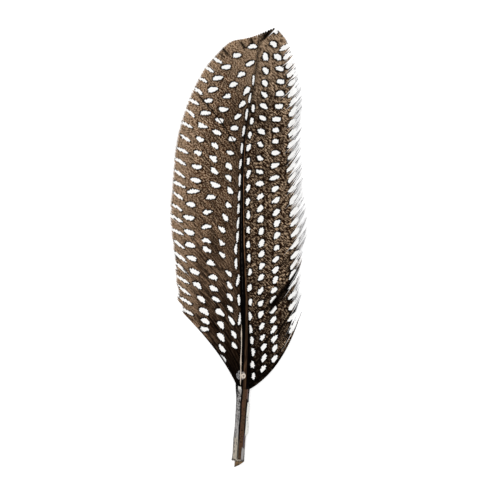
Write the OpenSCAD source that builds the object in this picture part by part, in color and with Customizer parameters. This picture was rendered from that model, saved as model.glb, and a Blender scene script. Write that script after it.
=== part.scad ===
// Quill pen made from a spotted flight feather.
// The feather lies flat. +Y runs along the barrel towards the feather's tip,
// +Z is up, and the origin is on the barrel's axis, half way along its grip.

/* [Barrel] */
// Outside radius of the papery sheath round the barrel
sheath_r = 2.15; // [1.8:0.05:2.4]
// Wall thickness of the sheath
sheath_wall = 0.1; // [0.08:0.01:0.14]
// Length of the sheath, which is the grip
sheath_length = 26; // [22:1:26]
// Outside radius of the horn tube inside the sheath
horn_r = 1.75; // [1.5:0.05:1.75]
// Wall thickness of the horn tube
horn_wall = 0.4; // [0.3:0.05:0.5]
// How far the nib stands out of the sheath
nib_reach = 3.6; // [3:0.1:5]
// Slope of the nib's cut face
nib_slope = 35; // [25:1:50]

/* [Shaft] */
// Half width of the shaft above the barrel
shaft_root_half = 2.1; // [1.6:0.05:2.1]
// Half width of the shaft at its tip
shaft_tip_half = 0.15; // [0.12:0.01:0.3]
// How quickly the shaft thins towards its tip
shaft_taper = 1.6; // [1.2:0.1:2]
// Height by which the middle of the shaft arches
arch = 4.5; // [2:0.5:6]
// Thickness of the shaft's horny skin, as a share of its half width
cortex_share = 0.28; // [0.2:0.02:0.4]

/* [Vane] */
// Thickness of the vane beside the shaft
vane_root_thick = 0.5; // [0.4:0.05:0.6]
// Thickness of the vane at its edge
vane_edge_thick = 0.3; // [0.25:0.05:0.4]
// Height of the vane's edge over the table
edge_lift = 0.1; // [0.1:0.05:0.6]
// How late the vane bends down towards the table
camber = 1.7; // [1.3:0.1:2.2]
// Half of the gap between two neighbouring webs
split_gap = 0.12; // [0.1:0.01:0.2]

/* [Hidden] */
$fn = 64;

LEFT = -1;
RIGHT = 1;

table_z = -sheath_r;
grip_end = sheath_length / 2;
vane_start = grip_end;
shaft_end = 144;
hollow_end = 114;
pith_end = 113;
root_gap = 0.03;
// Height of the shaft's tip over the table
tip_rise = 0.9;
// Share of a barb that each of its bent ends takes
bend_share = 0.35;

// The horn tube lies against the sheath's right wall.
horn_x = sheath_r - sheath_wall - horn_r - 0.01;
nib_y = -grip_end - nib_reach;

// The centre line of the shaft: distance along the barrel's axis, sideways bow
SHAFT_LINE = [[vane_start, 0], [30, -0.6], [50, -2.8], [70, -4.8], [90, -6.2],
    [105, -6.5], [118, -5.6], [130, -4.3], [144, -4.2]];

// Where a barb ends: its root's place on the shaft, then its tip's x and y
LEFT_EDGE = [[vane_start, -27.6, 42], [30, -30, 59], [45, -32.2, 74], [60, -32.3, 89],
    [75, -32.2, 103], [88, -30.2, 115], [100, -27.2, 125], [111, -23.4, 132.5],
    [121, -18.8, 137.5], [130, -14.5, 142], [137, -7, 145], [142, 1.2, 149.2]];
RIGHT_EDGE = [[vane_start, 20.3, 45], [30, 18.9, 62], [45, 19.8, 76], [60, 17.6, 90],
    [75, 15.6, 103], [90, 14.7, 116], [103, 14.3, 126], [115, 12, 133],
    [126, 9.5, 139.5], [135, 7, 144.5], [142, 2.2, 149]];

// A web of each side: first and last barb root, how far each end barb's tip strays inwards
LEFT_WEBS = [[vane_start, 30, 0, 0.5], [30, 47, 0.9, 0], [47, 64, 0, 0], [64, 82, 0, 0],
    [82, 99, 0, 0.25], [99, 113, 0.25, 0], [113, 126, 0, 0.3], [126, 142, 0.3, 0]];
RIGHT_WEBS = [[vane_start, 30, 0, 0.8], [30, 47, 0.8, 0.1], [47, 63, 0.1, 0], [63, 79, 0, 0.3],
    [79, 95, 0.3, 0], [95, 111, 0, 0], [111, 126, 0, 0.2], [126, 142, 0.2, 0]];

// ---- curves ----

// Number of the stretch of a list of points that holds v
function stretch(points, v, i = 0) =
    i >= len(points) - 2 || v < points[i + 1][0] ? i : stretch(points, v, i + 1);

// Slope of column k at point i
function slope_at(points, i, k) =
    let (a = max(i - 1, 0), b = min(i + 1, len(points) - 1))
    (points[b][k] - points[a][k]) / (points[b][0] - points[a][0]);

// Smooth curve through column k of a list of points
function smooth(points, v, k = 1) =
    let (i = stretch(points, v),
        span = points[i + 1][0] - points[i][0],
        t = (v - points[i][0]) / span,
        a = points[i][k],
        b = points[i + 1][k],
        ta = span * slope_at(points, i, k),
        tb = span * slope_at(points, i + 1, k))
    a * (2 * t ^ 3 - 3 * t ^ 2 + 1) + ta * (t ^ 3 - 2 * t ^ 2 + t)
        + b * (3 * t ^ 2 - 2 * t ^ 3) + tb * (t ^ 3 - t ^ 2);

function along_shaft(s) = (s - vane_start) / (shaft_end - vane_start);

function shaft_x(s) = smooth(SHAFT_LINE, s);

// The shaft leaves the barrel level, arches and comes down to the table at its tip.
function shaft_z(s) =
    let (t = along_shaft(s))
    arch * (1 - cos(360 * t)) / 2 + (table_z + tip_rise) * t ^ 2;

function shaft_half(s) =
    shaft_tip_half + (shaft_root_half - shaft_tip_half) * (1 - along_shaft(s)) ^ shaft_taper;

// ---- barbs ----

function edge_of(side) = side == LEFT ? LEFT_EDGE : RIGHT_EDGE;

function barb_root(side, s) = [shaft_x(s) + side * (shaft_half(s) + root_gap), s];

function barb_tip(side, s) = [smooth(edge_of(side), s, 1), smooth(edge_of(side), s, 2)];

// Degrees by which a barb's first stretch is turned towards the feather's tip. The lowest
// barbs on the right turn the other way, less and less over the first stretch of the shaft.
left_root_turn = 13;
right_root_turn = 8;
low_turn = 34;
low_stretch = 20;
function root_turn(side, s) = side == LEFT ? left_root_turn
    : right_root_turn - low_turn * max(0, 1 - (s - vane_start) / low_stretch);

// Degrees by which a barb's last stretch is turned towards the feather's tip
left_tip_turn = -8;
right_tip_turn = 14;
function tip_turn(side) = side == LEFT ? left_tip_turn : right_tip_turn;

function turned(v, side, a) =
    [v[0] * cos(a) - side * v[1] * sin(a), side * v[0] * sin(a) + v[1] * cos(a)];

// A point of a barb, seen from above: f is 0 at the shaft and 1 at its tip
function barb(side, s, f) =
    let (p = barb_root(side, s),
        q = barb_tip(side, s),
        reach = bend_share * (q - p),
        p1 = p + turned(reach, side, root_turn(side, s)),
        q1 = q - turned(reach, side, tip_turn(side)))
    p * (1 - f) ^ 3 + 3 * p1 * f * (1 - f) ^ 2 + 3 * q1 * f ^ 2 * (1 - f) + q * f ^ 3;

function barb_z(s, f) =
    let (edge_z = table_z + edge_lift + vane_edge_thick / 2)
    shaft_z(s) + (edge_z - shaft_z(s)) * f ^ camber;

// ---- meshes ----

// Triangles of a grid with the given rows and columns, its first point numbered start
function grid_faces(rows, columns, start, flip) = [
    for (i = [0 : rows - 2], j = [0 : columns - 2])
        let (a = start + i * columns + j, b = a + 1, c = a + columns, d = c + 1)
        for (face = flip ? [[a, b, d], [a, d, c]] : [[a, d, b], [a, c, d]]) face];

// Triangles that join the rims of two grids of the same size
function rim_faces(rows, columns) =
    let (n = rows * columns,
        rim = concat([for (j = [0 : columns - 1]) j],
            [for (i = [1 : rows - 1]) i * columns + columns - 1],
            [for (j = [columns - 2 : -1 : 0]) (rows - 1) * columns + j],
            [for (i = [rows - 2 : -1 : 1]) i * columns]))
    [for (k = [0 : len(rim) - 1])
        let (a = rim[k], b = rim[(k + 1) % len(rim)])
        for (face = [[a, b, b + n], [a, b + n, a + n]]) face];

// One web: a curved plate as wide as its barbs are long
module web(side, first, last, stray_first, stray_last) {
    barbs = 7;
    steps = 13;
    grid = [for (i = [0 : barbs - 1], j = [0 : steps - 1])
        let (f = j / (steps - 1),
            low = first + split_gap + stray_first * f ^ 2,
            high = last - split_gap - stray_last * f ^ 2,
            s = low + (high - low) * i / (barbs - 1),
            p = barb(side, s, f))
        [p[0], p[1], barb_z(s, f), (vane_root_thick + (vane_edge_thick - vane_root_thick) * f) / 2]];
    points = concat([for (g = grid) [g[0], g[1], g[2] + g[3]]],
        [for (g = grid) [g[0], g[1], g[2] - g[3]]]);
    faces = concat(grid_faces(barbs, steps, 0, side == RIGHT),
        grid_faces(barbs, steps, barbs * steps, side == LEFT),
        [for (t = rim_faces(barbs, steps)) side == RIGHT ? [t[0], t[2], t[1]] : t]);
    polyhedron(points, faces, convexity = 4);
}

// Points of the shaft's outline at the given places, shrunk by a share of its width
function shaft_rings(places, sides, share) = [
    for (s = places, k = [0 : sides - 1])
        let (r = shaft_half(s) * share, a = 360 * k / sides)
        [shaft_x(s) + r * cos(a), s, shaft_z(s) + r * sin(a)]];

// Side triangles of a stack of rings
function ring_faces(rings, sides, start, flip) = [
    for (i = [0 : rings - 2], k = [0 : sides - 1])
        let (a = start + i * sides + k,
            b = start + i * sides + (k + 1) % sides,
            c = a + sides,
            d = b + sides)
        for (face = flip ? [[a, b, d], [a, d, c]] : [[a, d, b], [a, c, d]]) face];

function shaft_places(from, to, count) = [for (i = [0 : count - 1]) from + (to - from) * i / (count - 1)];

module swept(places, share) {
    sides = 16;
    n = len(places);
    points = shaft_rings(places, sides, share);
    polyhedron(points, concat(ring_faces(n, sides, 0, false),
        [[for (k = [0 : sides - 1]) k]],
        [[for (k = [sides - 1 : -1 : 0]) (n - 1) * sides + k]]), convexity = 4);
}

// ---- sub-parts ----

// The loose papery skin, its lower end torn into short tongues
module barrel_sheath() {
    tear = 0.7;
    notch_depth = 1.1;
    color("silver")
    difference() {
        rotate([90, 0, 0]) cylinder(r = sheath_r, h = sheath_length, center = true);
        rotate([90, 0, 0]) cylinder(r = sheath_r - sheath_wall, h = sheath_length + 2, center = true);
        for (a = [20, 95, 150, 230, 310])
            rotate([0, a, 0]) translate([sheath_r, -grip_end, 0]) rotate([0, 0, 45])
                cube([tear, tear, notch_depth], center = true);
    }
}

// The horn tube, cut slanting to a point at its left wall and narrowed on both faces
module horn_tube() {
    nib_side = 0.35;
    nib_taper = 50;
    tube_length = grip_end - nib_y;
    color("sienna")
    difference() {
        translate([horn_x, nib_y, 0]) rotate([-90, 0, 0])
            difference() {
                cylinder(r = horn_r, h = tube_length);
                translate([0, 0, -1]) cylinder(r = horn_r - horn_wall, h = tube_length + 2);
            }
        translate([horn_x - horn_r, nib_y, 0]) rotate([0, 0, nib_slope])
            translate([-5, -10, -5]) cube([20, 10, 10]);
        for (face = [0, 1])
            mirror([0, 0, face]) translate([horn_x - horn_r, nib_y, nib_side])
                rotate([nib_taper, 0, 0]) translate([-1, -2, 0]) cube([6, 10, 4]);
    }
}

// Dried pulp caps, a row of thin cups inside the horn tube
module pulp_caps() {
    caps = 6;
    pitch = 3.8;
    wall = 0.12;
    cap_r = horn_r - horn_wall - 0.04;
    color("tan")
    for (i = [0 : caps - 1])
        translate([horn_x, -grip_end + 2 + i * pitch, 0]) rotate([-90, 0, 0])
            rotate_extrude()
                polygon(concat([for (a = [0 : 10 : 90]) [cap_r * cos(a), cap_r * sin(a)]],
                    [for (a = [90 : -10 : 0]) (cap_r - wall) * [cos(a), sin(a)]]));
}

// The shaft's hollow horny skin
module shaft_cortex() {
    sides = 16;
    rings = 34;
    outer = shaft_rings(shaft_places(vane_start + 0.05, shaft_end, rings), sides, 1);
    inner = shaft_rings(shaft_places(vane_start + 0.05, hollow_end, rings), sides, 1 - cortex_share);
    n = rings * sides;
    root_rim = [for (k = [0 : sides - 1])
        let (m = (k + 1) % sides)
        for (face = [[k, m, m + n], [k, m + n, k + n]]) face];
    color("black")
    polyhedron(concat(outer, inner), concat(ring_faces(rings, sides, 0, false),
        ring_faces(rings, sides, n, true),
        root_rim,
        [[for (k = [sides - 1 : -1 : 0]) n - sides + k]],
        [[for (k = [0 : sides - 1]) 2 * n - sides + k]]), convexity = 6);
}

// The foamy core of the shaft
module shaft_pith() {
    rings = 24;
    clearance = 0.06;
    color("ivory")
    swept(shaft_places(vane_start + 0.3, pith_end, rings), 1 - cortex_share - clearance);
}

// The pale membrane where the feather's growing pore closed, on the shaft's upper left flank
module umbilicus() {
    patch_y = 18;
    patch_r = 1.3;
    patch_wall = 0.15;
    shell_r = 2.14;
    color("lightgrey")
    translate([shaft_x(patch_y), patch_y, shaft_z(patch_y)])
        intersection() {
            rotate([90, 0, 0]) difference() {
                cylinder(r = shell_r + patch_wall, h = 4, center = true);
                cylinder(r = shell_r, h = 5, center = true);
            }
            rotate([0, -38, 0]) cylinder(r = patch_r, h = 4);
        }
}

module left_web(i) {
    w = LEFT_WEBS[i];
    color("saddlebrown") web(LEFT, w[0], w[1], w[2], w[3]);
}

module right_web(i) {
    w = RIGHT_WEBS[i];
    color("sienna") web(RIGHT, w[0], w[1], w[2], w[3]);
}

barrel_sheath();
horn_tube();
pulp_caps();
shaft_cortex();
shaft_pith();
umbilicus();
left_web(0);  // left_web_1
left_web(1);  // left_web_2
left_web(2);  // left_web_3
left_web(3);  // left_web_4
left_web(4);  // left_web_5
left_web(5);  // left_web_6
left_web(6);  // left_web_7
left_web(7);  // left_web_8
right_web(0);  // right_web_1
right_web(1);  // right_web_2
right_web(2);  // right_web_3
right_web(3);  // right_web_4
right_web(4);  // right_web_5
right_web(5);  // right_web_6
right_web(6);  // right_web_7
right_web(7);  // right_web_8
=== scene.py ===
"""A quill pen made from a spotted flight feather: its barrel, shaft, vanes and studio."""
import logging
import math
from dataclasses import dataclass
from enum import Enum
from typing import Callable, Sequence

import bmesh
import bpy
import numpy as np
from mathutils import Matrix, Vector, noise


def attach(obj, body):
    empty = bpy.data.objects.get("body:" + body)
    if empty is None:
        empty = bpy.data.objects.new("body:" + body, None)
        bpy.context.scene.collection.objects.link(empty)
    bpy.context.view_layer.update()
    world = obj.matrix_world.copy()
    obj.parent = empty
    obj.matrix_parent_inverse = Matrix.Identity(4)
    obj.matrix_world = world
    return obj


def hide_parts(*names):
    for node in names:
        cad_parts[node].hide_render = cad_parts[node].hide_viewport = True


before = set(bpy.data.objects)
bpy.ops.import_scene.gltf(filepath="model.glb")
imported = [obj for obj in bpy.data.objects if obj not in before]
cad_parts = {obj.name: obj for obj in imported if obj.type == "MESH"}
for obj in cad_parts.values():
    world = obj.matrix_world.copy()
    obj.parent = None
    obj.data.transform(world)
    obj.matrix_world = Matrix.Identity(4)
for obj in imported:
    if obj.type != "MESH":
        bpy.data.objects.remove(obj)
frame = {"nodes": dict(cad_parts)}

MM = 0.001
SEED = 7
MERGE_MM = 0.0005
Table = Sequence[Sequence[float]]
Span = tuple[float, float]
Colour = tuple[float, float, float]

log = logging.getLogger("quill")


class Side(Enum):
    """The two sides of the feather, as the sign of their direction across it."""

    LEFT = -1
    RIGHT = 1


class Slot(Enum):
    """Material slots of the record, one for each kind of new piece."""

    SHEATH = "sheath"
    CORTEX = "cortex"
    MEMBRANE = "membrane"
    VANE = "vane"


# ---- curves ----


def smooth(points: Table, at: np.ndarray | float, column: int = 1) -> np.ndarray:
    """Follow a smooth curve through a column of a list of points.

    Args:
        points: rows that start with the place and go on with the values there.
        at: places to read the curve at.
        column: which value of each row.

    Returns:
        The curve's values.
    """
    table = np.asarray(points, float)
    x, y = table[:, 0], table[:, column]
    ends = np.arange(len(x))
    before, after = np.maximum(ends - 1, 0), np.minimum(ends + 1, len(x) - 1)
    slope = (y[after] - y[before]) / (x[after] - x[before])
    at = np.asarray(at, float)
    i = np.clip(np.searchsorted(x, at, side="right") - 1, 0, len(x) - 2)
    span = x[i + 1] - x[i]
    t = (at - x[i]) / span
    rise = y[i] * (2 * t**3 - 3 * t**2 + 1) + y[i + 1] * (3 * t**2 - 2 * t**3)
    return rise + span * (slope[i] * (t**3 - 2 * t**2 + t) + slope[i + 1] * (t**3 - t**2))


def ease(low: float, high: float, at: np.ndarray | float) -> np.ndarray:
    """Rise smoothly from 0 at low to 1 at high."""
    t = np.clip((np.asarray(at, float) - low) / (high - low), 0, 1)
    return t * t * (3 - 2 * t)


def linear(colour: Sequence[int]) -> Colour:
    """Turn a screen colour of 0 to 255 into the linear one that shaders take."""
    parts = [c / 255 for c in colour]
    return tuple(p / 12.92 if p <= 0.04045 else ((p + 0.055) / 1.055) ** 2.4 for p in parts)


@dataclass(frozen=True)
class FeatherPlan:
    """The feather's plan, in millimetres: the CAD model's, its edge a little fuller."""

    vane_start: float = 13.0
    shaft_end: float = 144.0
    table_z: float = -2.15
    arch: float = 4.5
    tip_rise: float = 0.9
    root_half: float = 2.1
    tip_half: float = 0.15
    taper: float = 1.6
    edge_z: float = -1.9
    camber: float = 1.7
    root_gap: float = 0.03
    reach: float = 0.35
    left_turns: Span = (13.0, -8.0)
    right_turns: Span = (8.0, 14.0)
    right_foot_turn: float = 34.0
    right_foot_reach: float = 20.0
    shaft_line: Table = ((13, 0), (30, -0.6), (50, -2.8), (70, -4.8), (90, -6.2),
                         (105, -6.5), (118, -5.6), (130, -4.3), (144, -4.2))
    left_edge: Table = ((13, -27.6, 42), (30, -30, 59), (45, -32.7, 74), (60, -32.9, 89),
                        (75, -32.6, 103), (88, -30.4, 115), (100, -27.2, 125),
                        (111, -23.5, 132.8), (121, -19.2, 138.4), (130, -14.5, 143),
                        (137, -7, 145.2), (142, 1.9, 149.3))
    right_edge: Table = ((13, 20.3, 45), (30, 18.9, 62), (45, 19.8, 76), (60, 17.6, 90),
                         (75, 15.6, 103), (90, 14.7, 116), (103, 14.3, 126), (115, 12, 133),
                         (126, 9.5, 139.5), (135, 7, 144.5), (142, 2.5, 149.1))

    def along(self, s: np.ndarray | float) -> np.ndarray:
        """Share of the shaft's length below the place s."""
        return np.clip((np.asarray(s, float) - self.vane_start)
                       / (self.shaft_end - self.vane_start), 0, 1)

    def shaft_x(self, s: np.ndarray | float) -> np.ndarray:
        """Sideways bow of the shaft."""
        return smooth(self.shaft_line, s)

    def shaft_z(self, s: np.ndarray | float) -> np.ndarray:
        """Height of the shaft's centre line."""
        t = self.along(s)
        return self.arch * (1 - np.cos(2 * math.pi * t)) / 2 + (self.table_z + self.tip_rise) * t**2

    def shaft_half(self, s: np.ndarray | float) -> np.ndarray:
        """Half width of the shaft."""
        return self.tip_half + (self.root_half - self.tip_half) * (1 - self.along(s)) ** self.taper

    def barb(self, side: Side, s: np.ndarray,
             f: np.ndarray) -> tuple[np.ndarray, np.ndarray, np.ndarray]:
        """Find points of barbs.

        Args:
            side: the side of the feather.
            s: where the barbs leave the shaft.
            f: share of the barb's length, 0 at the shaft and 1 at its tip.

        Returns:
            The points' x, y and z.
        """
        sign = side.value
        edge = self.left_edge if side is Side.LEFT else self.right_edge
        s, f = np.broadcast_arrays(np.asarray(s, float), np.asarray(f, float))
        px, py = self.shaft_x(s) + sign * (self.shaft_half(s) + self.root_gap), s
        qx, qy = smooth(edge, s, 1), smooth(edge, s, 2)
        rx, ry = self.reach * (qx - px), self.reach * (qy - py)
        if side is Side.LEFT:
            root_turn, tip_turn = np.radians(self.left_turns[0]), math.radians(self.left_turns[1])
        else:
            foot = np.maximum(0, 1 - (s - self.vane_start) / self.right_foot_reach)
            root_turn = np.radians(self.right_turns[0] - self.right_foot_turn * foot)
            tip_turn = math.radians(self.right_turns[1])
        ax, ay = self._turned(rx, ry, sign, root_turn)
        bx, by = self._turned(rx, ry, sign, tip_turn)
        g = 1 - f
        x = px * g**3 + 3 * (px + ax) * f * g**2 + 3 * (qx - bx) * f**2 * g + qx * f**3
        y = py * g**3 + 3 * (py + ay) * f * g**2 + 3 * (qy - by) * f**2 * g + qy * f**3
        shaft_z = self.shaft_z(s)
        z = shaft_z + (self.edge_z - shaft_z) * np.clip(f, 0, 1) ** self.camber
        return x, y, z

    @staticmethod
    def _turned(x: np.ndarray, y: np.ndarray, sign: int,
                angle: np.ndarray) -> tuple[np.ndarray, np.ndarray]:
        """Turn a vector towards the feather's tip."""
        return (x * np.cos(angle) - sign * y * np.sin(angle),
                sign * x * np.sin(angle) + y * np.cos(angle))


# ---- shader nodes ----


class NodeSheet:
    """Places and joins the nodes of one tree."""

    def __init__(self, tree: bpy.types.NodeTree) -> None:
        """Keep the tree."""
        self.tree = tree

    def put(self, kind: str, inputs: dict | None = None, **settings: object) -> bpy.types.Node:
        """Place a node.

        Args:
            kind: the node's type, without its ShaderNode prefix.
            inputs: a value or another node's output for each named or numbered input.
            settings: the node's own properties.

        Returns:
            The new node.
        """
        node = self.tree.nodes.new("ShaderNode" + kind)
        for name, value in settings.items():
            setattr(node, name, value)
        for name, value in (inputs or {}).items():
            self.feed(node.inputs[name], value)
        return node

    def feed(self, socket: bpy.types.NodeSocket, value: object) -> None:
        """Give an input a value or join it to an output.

        Args:
            socket: the input.
            value: a value, or another node's output.
        """
        if isinstance(value, bpy.types.NodeSocket):
            self.tree.links.new(value, socket)
        elif socket.type == "RGBA":
            socket.default_value = (*value, 1.0) if len(value) == 3 else value
        else:
            socket.default_value = value

    def sum(self, kind: str, a: object, b: object = 0.0, c: object = 0.0) -> bpy.types.NodeSocket:
        """Work out a number from up to three others."""
        return self.put("Math", {0: a, 1: b, 2: c}, operation=kind).outputs[0]

    def vector(self, kind: str, a: object, b: object = (0.0, 0.0, 0.0)) -> bpy.types.NodeSocket:
        """Work out a vector from up to two others."""
        return self.put("VectorMath", {0: a, 1: b}, operation=kind).outputs[0]

    def span(self, value: object, low: float, high: float, start: float = 0.0,
             end: float = 1.0) -> bpy.types.NodeSocket:
        """Map a number smoothly from low and high to start and end."""
        node = self.put("MapRange", {"Value": value, "From Min": low, "From Max": high,
                                     "To Min": start, "To Max": end},
                        interpolation_type="SMOOTHSTEP", clamp=True)
        return node.outputs["Result"]

    def mix(self, share: object, a: object, b: object) -> bpy.types.NodeSocket:
        """Blend colour a into colour b.

        Args:
            share: how much of b there is, 0 to 1.
            a: the first colour.
            b: the second colour.

        Returns:
            The mixed colour.
        """
        node = self.put("Mix", data_type="RGBA")
        self.feed(node.inputs["Factor"], share)
        self.feed(node.inputs[6], a)
        self.feed(node.inputs[7], b)
        return node.outputs[2]

    def noise(self, place: object, scale: float, detail: float = 2.0, roughness: float = 0.5,
              distortion: float = 0.0) -> bpy.types.NodeSocket:
        """Noise of 0 to 1 at a place."""
        node = self.put("TexNoise", {"Vector": place, "Scale": scale, "Detail": detail,
                                     "Roughness": roughness, "Distortion": distortion})
        return node.outputs[0]

    def attribute(self, name: str) -> bpy.types.NodeSocket:
        """Read one of the piece's own vectors."""
        return self.put("Attribute", attribute_name=name).outputs["Vector"]

    def group(self, tree: bpy.types.NodeTree, inputs: dict) -> bpy.types.Node:
        """Place a node group.

        Args:
            tree: the group's tree.
            inputs: a value or another node's output for each named input.

        Returns:
            The group's node.
        """
        node = self.tree.nodes.new("ShaderNodeGroup")
        node.node_tree = tree
        for name, value in inputs.items():
            self.feed(node.inputs[name], value)
        return node


@dataclass(frozen=True)
class Surface:
    """The last touches of a material: how its relief stands and how much it shines."""

    strength: float
    depth: float
    gloss: float

    def dress(self, sheet: NodeSheet, shader: bpy.types.Node, colour: object, rough: object,
              height: object) -> None:
        """Join a shader to what makes its surface.

        Args:
            sheet: the material's sheet.
            shader: its Principled shader.
            colour: the colour.
            rough: the roughness.
            height: the relief's height, whose full depth is in millimetres.
        """
        sheet.feed(shader.inputs["Base Color"], colour)
        sheet.feed(shader.inputs["Roughness"], rough)
        bump = sheet.put("Bump", {"Height": height, "Strength": self.strength,
                                  "Distance": self.depth * MM})
        sheet.feed(shader.inputs["Normal"], bump.outputs[0])
        shader.inputs["Specular IOR Level"].default_value = self.gloss


class SharedEffects:
    """Node groups that more than one finish uses, each built once."""

    def __init__(self) -> None:
        """Build the groups."""
        self.depth = self._spot_depth()
        self.band = self._band()
        self.streaks = self._streaks()

    def streaked(self, sheet: NodeSheet, fineness: float) -> bpy.types.bpy_prop_collection:
        """Place the streaks and the mottle on a piece's own coordinates."""
        return sheet.group(self.streaks, {"Place": sheet.put("TexCoord").outputs["Object"],
                                          "Fineness": fineness}).outputs

    def masked(self, sheet: NodeSheet, value: object, centre: object, half: float,
               soft: float) -> bpy.types.NodeSocket:
        """Place the mask of a soft-edged band."""
        return sheet.group(self.band, {"Value": value, "Centre": centre, "Half": half,
                                       "Soft": soft}).outputs[0]

    @staticmethod
    def _open(name: str, inputs: dict[str, str],
              outputs: dict[str, str]) -> tuple[NodeSheet, bpy.types.Node, bpy.types.Node]:
        """Start a group with the named sockets.

        Args:
            name: the group's name.
            inputs: socket types by name.
            outputs: socket types by name.

        Returns:
            The sheet, the group's input node and its output node.
        """
        tree = bpy.data.node_groups.new(name, "ShaderNodeTree")
        for label, kind in inputs.items():
            tree.interface.new_socket(name=label, in_out="INPUT", socket_type=kind)
        for label, kind in outputs.items():
            tree.interface.new_socket(name=label, in_out="OUTPUT", socket_type=kind)
        return NodeSheet(tree), tree.nodes.new("NodeGroupInput"), tree.nodes.new("NodeGroupOutput")

    def _spot_depth(self) -> bpy.types.NodeTree:
        """How deep a point lies inside one of three pale bars on its barb, in millimetres.

        Returns:
            The group's tree.
        """
        sheet, start, end = self._open(
            "bar_depth",
            {"Along": "NodeSocketFloat", "Centres": "NodeSocketVector", "Halves": "NodeSocketVector"},
            {"Depth": "NodeSocketFloat"})
        along = sheet.put("CombineXYZ", {i: start.outputs["Along"] for i in range(3)}).outputs[0]
        off = sheet.vector("ABSOLUTE", sheet.vector("SUBTRACT", along, start.outputs["Centres"]))
        inside = sheet.vector("SUBTRACT", start.outputs["Halves"], off)
        parts = sheet.put("SeparateXYZ", {0: inside}).outputs
        deepest = sheet.sum("MAXIMUM", sheet.sum("MAXIMUM", parts[0], parts[1]), parts[2])
        sheet.feed(end.inputs["Depth"], deepest)
        return sheet.tree

    def _band(self) -> bpy.types.NodeTree:
        """Mask of a soft-edged band round a centre value.

        Returns:
            The group's tree.
        """
        sheet, start, end = self._open(
            "soft_band",
            {"Value": "NodeSocketFloat", "Centre": "NodeSocketFloat", "Half": "NodeSocketFloat",
             "Soft": "NodeSocketFloat"},
            {"Mask": "NodeSocketFloat"})
        off = sheet.sum("ABSOLUTE", sheet.sum("SUBTRACT", start.outputs["Value"],
                                              start.outputs["Centre"]))
        inside = sheet.sum("SUBTRACT", start.outputs["Half"], off)
        share = sheet.sum("DIVIDE", inside, start.outputs["Soft"])
        sheet.feed(end.inputs["Mask"], sheet.span(share, -0.5, 0.5))
        return sheet.tree

    def _streaks(self) -> bpy.types.NodeTree:
        """Fine streaks that run along the feather, and a mottle.

        Returns:
            The group's tree.
        """
        sheet, start, end = self._open(
            "lengthwise_streaks",
            {"Place": "NodeSocketVector", "Fineness": "NodeSocketFloat"},
            {"Streak": "NodeSocketFloat", "Mottle": "NodeSocketFloat"})
        drawn = sheet.vector("MULTIPLY", start.outputs["Place"], (1.0, 0.09, 1.0))
        streak = sheet.put("TexNoise", {"Vector": drawn, "Scale": start.outputs["Fineness"],
                                        "Detail": 3.0, "Roughness": 0.6})
        mottle = sheet.put("TexNoise", {"Vector": start.outputs["Place"], "Detail": 3.0,
                                        "Scale": sheet.sum("MULTIPLY", start.outputs["Fineness"], 0.6)})
        sheet.feed(end.inputs["Streak"], streak.outputs[0])
        sheet.feed(end.inputs["Mottle"], mottle.outputs[0])
        return sheet.tree


def new_material(name: str) -> tuple[bpy.types.Material, NodeSheet, bpy.types.Node]:
    """Start a material.

    Args:
        name: the material's name.

    Returns:
        The material, its sheet and its Principled shader.
    """
    material = bpy.data.materials.new(name)
    material.use_nodes = True
    shader = material.node_tree.nodes["Principled BSDF"]
    return material, NodeSheet(material.node_tree), shader


# ---- finishes ----


@dataclass(frozen=True)
class VaneZones:
    """Where the vane's colour changes.

    Places are millimetres along the shaft, those beside it are millimetres along a barb, and
    shares are shares of a barb.
    """

    bare_foot: Span = (13.4, 14.6)
    outer_foot: Span = (13.5, 18.0)
    shaded_foot: Span = (14.0, 46.0)
    black_foot: Span = (15.0, 34.0)
    rim_foot: Span = (18.0, 26.0)
    gapped: Span = (24.0, 62.0)
    lower: Span = (40.0, 72.0)
    tip: Span = (108.0, 138.0)
    beside_shaft: Span = (0.1, 2.5)
    black_share: Span = (0.15, 0.6)
    lit_share: Span = (0.4, 0.75)
    gap_share: Span = (0.5, 0.8)
    outer_share: Span = (0.62, 0.98)
    bright_share: Span = (0.0, 0.85)
    rim_share: float = 0.03


@dataclass(frozen=True)
class BarbSockets:
    """What the vane's shader reads at a point: its place on the barb, its spot and its grain."""

    barb: bpy.types.NodeSocket
    along: bpy.types.NodeSocket
    root: bpy.types.NodeSocket
    share: bpy.types.NodeSocket
    grain: bpy.types.NodeSocket
    depth: bpy.types.NodeSocket
    rim: bpy.types.NodeSocket
    crease: bpy.types.NodeSocket
    streak: bpy.types.NodeSocket


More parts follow.
